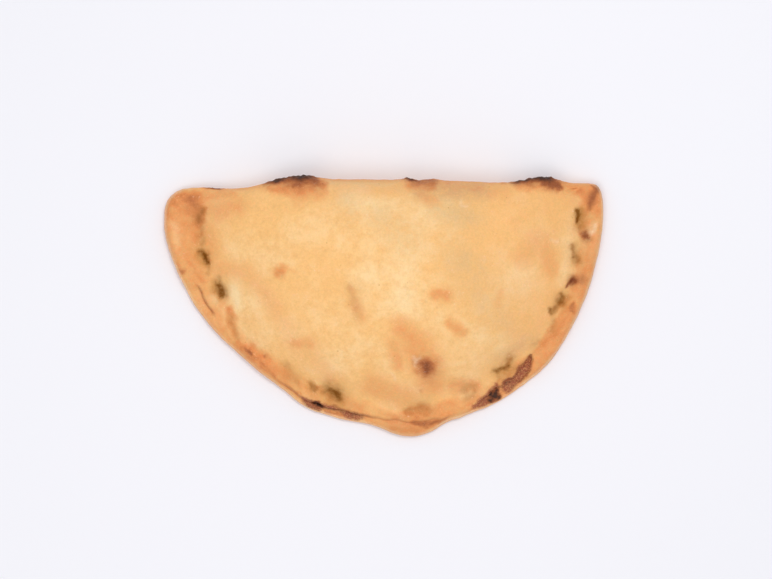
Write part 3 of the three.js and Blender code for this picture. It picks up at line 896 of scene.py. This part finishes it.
class Finish:
    """A material, made node by node."""

    def __init__(self, name):
        self.material = bpy.data.materials.new(name)
        self.material.use_nodes = True
        self.tree = self.material.node_tree
        self.tree.nodes.clear()

    def node(self, kind, settings=None, values=(), output=0):
        node = self.tree.nodes.new(kind)
        for name, value in (settings or {}).items():
            setattr(node, name, value)
        for key, value in values.items() if isinstance(values, dict) else enumerate(values):
            socket = node.inputs[key]
            if isinstance(value, Field):
                self.tree.links.new(value.socket, socket)
            elif socket.type == "RGBA":
                socket.default_value = (*value, 1)
            else:
                socket.default_value = value
        return Field(self, node.outputs[output])

    def mark(self, name):
        """A level kept on the mesh."""
        return self.node("ShaderNodeAttribute", {"attribute_name": name}, output="Fac")

    def place(self):
        """Where the point is on the piece, in metres."""
        return self.node("ShaderNodeTexCoord", output="Object")

    def speckle(self, place, size, detail=2.0, roughness=0.5, warp=0.0):
        """Soft noise from 0 to 1 with lumps of that many millimetres."""
        values = {"Vector": place, "Scale": 1 / (size * MM), "Detail": detail, "Roughness": roughness}
        return self.node("ShaderNodeTexNoise", values={**values, "Distortion": warp})

    def dots(self, place, spacing):
        """Distance to scattered points, as a share of their spacing in millimetres, and a level for each."""
        cells = self.node("ShaderNodeTexVoronoi", values={"Vector": place, "Scale": 1 / (spacing * MM)})
        colour = Field(self, cells.socket.node.outputs["Color"])
        return cells, self.node("ShaderNodeSeparateColor", values=[colour])

    def blend(self, share, first, second, how="MIX"):
        """The first colour where the share is 0, and the second where it is 1."""
        settings = {"data_type": "RGBA", "blend_type": how}
        return self.node("ShaderNodeMix", settings, {0: share, 6: first, 7: second}, output=2)

    def bump(self, height, millimetres):
        """Fine relief that many millimetres high where the height is 1."""
        return self.node("ShaderNodeBump", values={"Height": height, "Distance": millimetres * MM})

    def surface(self, **values):
        """Ends the finish with its shader, and gives the material."""
        named = {name.replace("_", " "): value for name, value in values.items()}
        shader = self.node("ShaderNodeBsdfPrincipled", values=named)
        output = self.tree.nodes.new("ShaderNodeOutputMaterial")
        self.tree.links.new(shader.socket, output.inputs["Surface"])
        return self.material


def crust_finish(colours):
    """Dough as it comes from the oven: mottled gold, toasted rim, char, dark pinches and dried sauce, with
    painted shade along the fold, low on the crown, in the pinches and under the upper layer's edge.
    """
    f = Finish("baked_crust")
    place = f.place()
    broad, patchy = f.speckle(place, 34), f.speckle(place, 11, 3, 0.55, 0.4)
    mottled, grain = f.speckle(place, 3.6, 3, 0.6), f.speckle(place, 1.3, 3, 0.65)
    dust = f.speckle(place, 0.7, 2, 0.7)
    ragged = (patchy - 0.5) * 1.2 + (mottled - 0.5) * 1.6 + (grain - 0.5) * 0.7

    # Golden to pale, with a greenish tint, which along the top of the fold is painted shade.
    pale, browned_and_shaded = f.mark("pale"), f.mark("browned_and_shaded")
    share = 0.26 + 0.44 * pale - 0.45 * browned_and_shaded
    share = share + (broad - 0.5) * 1.2 + (patchy - 0.5) * 0.7 + (mottled - 0.5) * 0.5
    colour = f.blend(share.rise(0, 1), colours.golden, colours.pale)
    tint_and_shade = f.mark("tinted_and_shaded") * (patchy + mottled).rise(0.45, 1.45)
    colour = f.blend(tint_and_shade.at_most(1) * 0.8, colour, colours.greenish)

    # Browned, toasted and scorched, and the painted shade carried by those marks.
    toast_and_shade = browned_and_shaded + ragged * (0.14 + browned_and_shaded * 0.42) - pale * 0.16
    colour = f.blend(toast_and_shade.rise(0, 0.9), colour, colours.toasted)
    colour = f.blend(toast_and_shade.rise(0.7, 1.4), colour, colours.brown)
    scorch_and_shade = f.mark("scorched_and_shaded") * (1 + ragged * 0.9)
    colour = f.blend((scorch_and_shade * 1.1).at_most(1).at_least(0), colour, colours.brown)
    colour = f.blend(scorch_and_shade.rise(0.85, 1.4) * 0.4, colour, colours.char)

    # The pinches, tan round their olive-dark bottoms, which also carry painted shade in the hollows.
    halo = f.mark("round_pinches") * (1 + ragged)
    pinch_and_shade = f.mark("pinched_and_shaded") * (1 + ragged * 0.9)
    colour = f.blend(halo.at_most(1) * 0.5, colour, colours.tan)
    colour = f.blend(pinch_and_shade.at_most(1).at_least(0), colour, colours.olive)

    # Specks, and flour everywhere but in the pinches.
    specks, chosen = f.dots(place, 7.5)
    tiny = specks.rise(0.075, 0.03) * chosen.rise(0.5, 0.55)
    colour = f.blend(tiny * 0.55, colour, colours.tan)
    crumb = grain.rise(0.58, 0.74) * patchy.rise(0.5, 0.64)
    floury = crumb * 0.45 + dust.rise(0.56, 0.76) * 0.14 + f.mark("floured") * (0.5 + grain) * 0.75
    colour = f.blend(floury * pinch_and_shade.rise(0.6, 0.2), colour, colours.flour)

    # Dried sauce, and char over everything.
    sauce = (f.mark("sauce") + (mottled - 0.5) * 2.8 + (grain - 0.5) * 1.6).rise(-1.3, 0.9)
    dried = f.blend(dust.rise(0.42, 0.72) * 0.45, colours.sauce, colours.golden)
    dried = f.blend(mottled.rise(0.52, 0.3) * 0.45, dried, colours.char)
    colour = f.blend(sauce * 0.95, colour, dried)
    char = f.mark("charred") + ragged * 0.3
    colour = f.blend(char.rise(0.05, 0.6) * 0.92, colour, colours.brown)
    colour = f.blend(char.rise(0.4, 0.95), colour, colours.char)

    # The base, browned in patches and floury.
    leopard = f.blend((patchy * 0.6 + mottled * 0.4).rise(0.47, 0.66), colours.toasted, colours.brown)
    leopard = f.blend(dust.rise(0.5, 0.75) * broad.rise(0.4, 0.6) * 0.55, leopard, colours.flour)
    colour = f.blend(f.mark("under"), colour, leopard)

    # Fine light and dark, which is stronger where the crust is brown.
    busy = 1 + browned_and_shaded
    lightness = 1 + (patchy * 0.1 + mottled * 0.18 + grain * 0.24 + dust * 0.1 - 0.31) * busy
    grey = f.node("ShaderNodeCombineColor", values=[lightness, lightness, lightness])
    colour = f.blend(1.0, colour, grey, "MULTIPLY")

    crackle = char.rise(0.2, 0.8)
    roughness = 0.6 + (grain - 0.5) * 0.25 + crackle * 0.12 - sauce * 0.12
    height = mottled * 0.34 + grain * 0.2 + dust * 0.06 + crackle * mottled * 0.5 + sauce * grain * 0.4
    height = height - tiny * 0.05 + crumb * 0.06
    return f.surface(
        Base_Color=colour,
        Roughness=roughness,
        Normal=f.bump(height, 1.0),
        Specular_IOR_Level=0.22,
        Subsurface_Weight=0.12,
        Subsurface_Radius=(1.0, 0.45, 0.2),
        Subsurface_Scale=0.0035,
    )


def table_finish(colour):
    return Finish("table").surface(Base_Color=colour, Roughness=0.85)


# ---- Operators ----
def add_piece(name, mesh, material):
    mesh.materials.append(material)
    piece = bpy.data.objects.new(name, mesh)
    bpy.context.scene.collection.objects.link(piece)
    return piece


class CALZONE_OT_crust(bpy.types.Operator):
    """Shape, brown and place the baked crust"""

    bl_idname = "calzone.crust"
    bl_label = "Baked crust"

    def execute(self, context):
        if "calzone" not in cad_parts:
            raise RuntimeError("the frame has no node named calzone")
        mesh = crust_mesh(Form(context.scene.calzone_sizes))
        crust = add_piece("baked_crust", mesh, crust_finish(context.scene.calzone_colours))
        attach(crust, "root")
        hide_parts("calzone")
        return {"FINISHED"}


def add_lamp(name, place, width, power):
    """A round soft light that faces the calzone."""
    light = bpy.data.lights.new(name, "AREA")
    light.shape, light.size, light.energy = "DISK", width, power
    light.color = LAMP_COLOUR
    lamp = bpy.data.objects.new(name, light)
    lamp.location = place
    lamp.rotation_euler = (-lamp.location).to_track_quat("-Z", "Y").to_euler()
    bpy.context.scene.collection.objects.link(lamp)


class CALZONE_OT_stage(bpy.types.Operator):
    """Lay the table, place the camera and light it softly"""

    bl_idname = "calzone.stage"
    bl_label = "Table, camera and light"

    def execute(self, context):
        stage, scene = context.scene.calzone_stage, context.scene
        mesh = bpy.data.meshes.new("table")
        half = TABLE_SIZE / 2
        corners = [(-half, -half, 0), (half, -half, 0), (half, half, 0), (-half, half, 0)]
        mesh.from_pydata(corners, [], [(0, 1, 2, 3)])
        add_piece("table", mesh, table_finish(stage.table))

        camera = bpy.data.objects.new("camera", bpy.data.cameras.new("camera"))
        camera.data.sensor_width = SENSOR_WIDTH
        camera.data.lens = stage.lens
        camera.location = (*CAMERA_OVER, stage.camera_height)
        scene.collection.objects.link(camera)
        scene.camera = camera

        add_lamp("back light", *BACK_LAMP, stage.back_power)
        add_lamp("front light", *FRONT_LAMP, stage.front_power)

        world = bpy.data.worlds.new("room")
        world.use_nodes = True
        sky = world.node_tree.nodes["Background"]
        sky.inputs["Color"].default_value = (*ROOM_COLOUR, 1)
        sky.inputs["Strength"].default_value = stage.room_light
        scene.world = world
        scene.view_settings.view_transform = "Standard"
        return {"FINISHED"}


class CALZONE_PT_panel(bpy.types.Panel):
    """Everything that makes the calzone"""

    bl_idname = "CALZONE_PT_panel"
    bl_label = "Calzone"
    bl_space_type = "VIEW_3D"
    bl_region_type = "UI"
    bl_category = "Calzone"

    def draw(self, context):
        for name, group in SETTINGS.items():
            box = self.layout.box()
            box.label(text=group.__doc__)
            for setting in group.__annotations__:
                box.prop(getattr(context.scene, name), setting)
        for operator in OPERATORS:
            self.layout.operator(operator.bl_idname)


OPERATORS = (CALZONE_OT_crust, CALZONE_OT_stage)
SETTINGS = {
    "calzone_sizes": CALZONE_PG_sizes,
    "calzone_colours": CALZONE_PG_colours,
    "calzone_stage": CALZONE_PG_stage,
}


def register():
    for group in (*SETTINGS.values(), *OPERATORS, CALZONE_PT_panel):
        bpy.utils.register_class(group)
    for name, group in SETTINGS.items():
        setattr(bpy.types.Scene, name, bpy.props.PointerProperty(type=group))


def unregister():
    for name in SETTINGS:
        delattr(bpy.types.Scene, name)
    for group in (CALZONE_PT_panel, *reversed(OPERATORS), *reversed(SETTINGS.values())):
        bpy.utils.unregister_class(group)


def main():
    register()
    bpy.ops.calzone.crust()
    bpy.ops.calzone.stage()


if __name__ == "__main__":
    main()
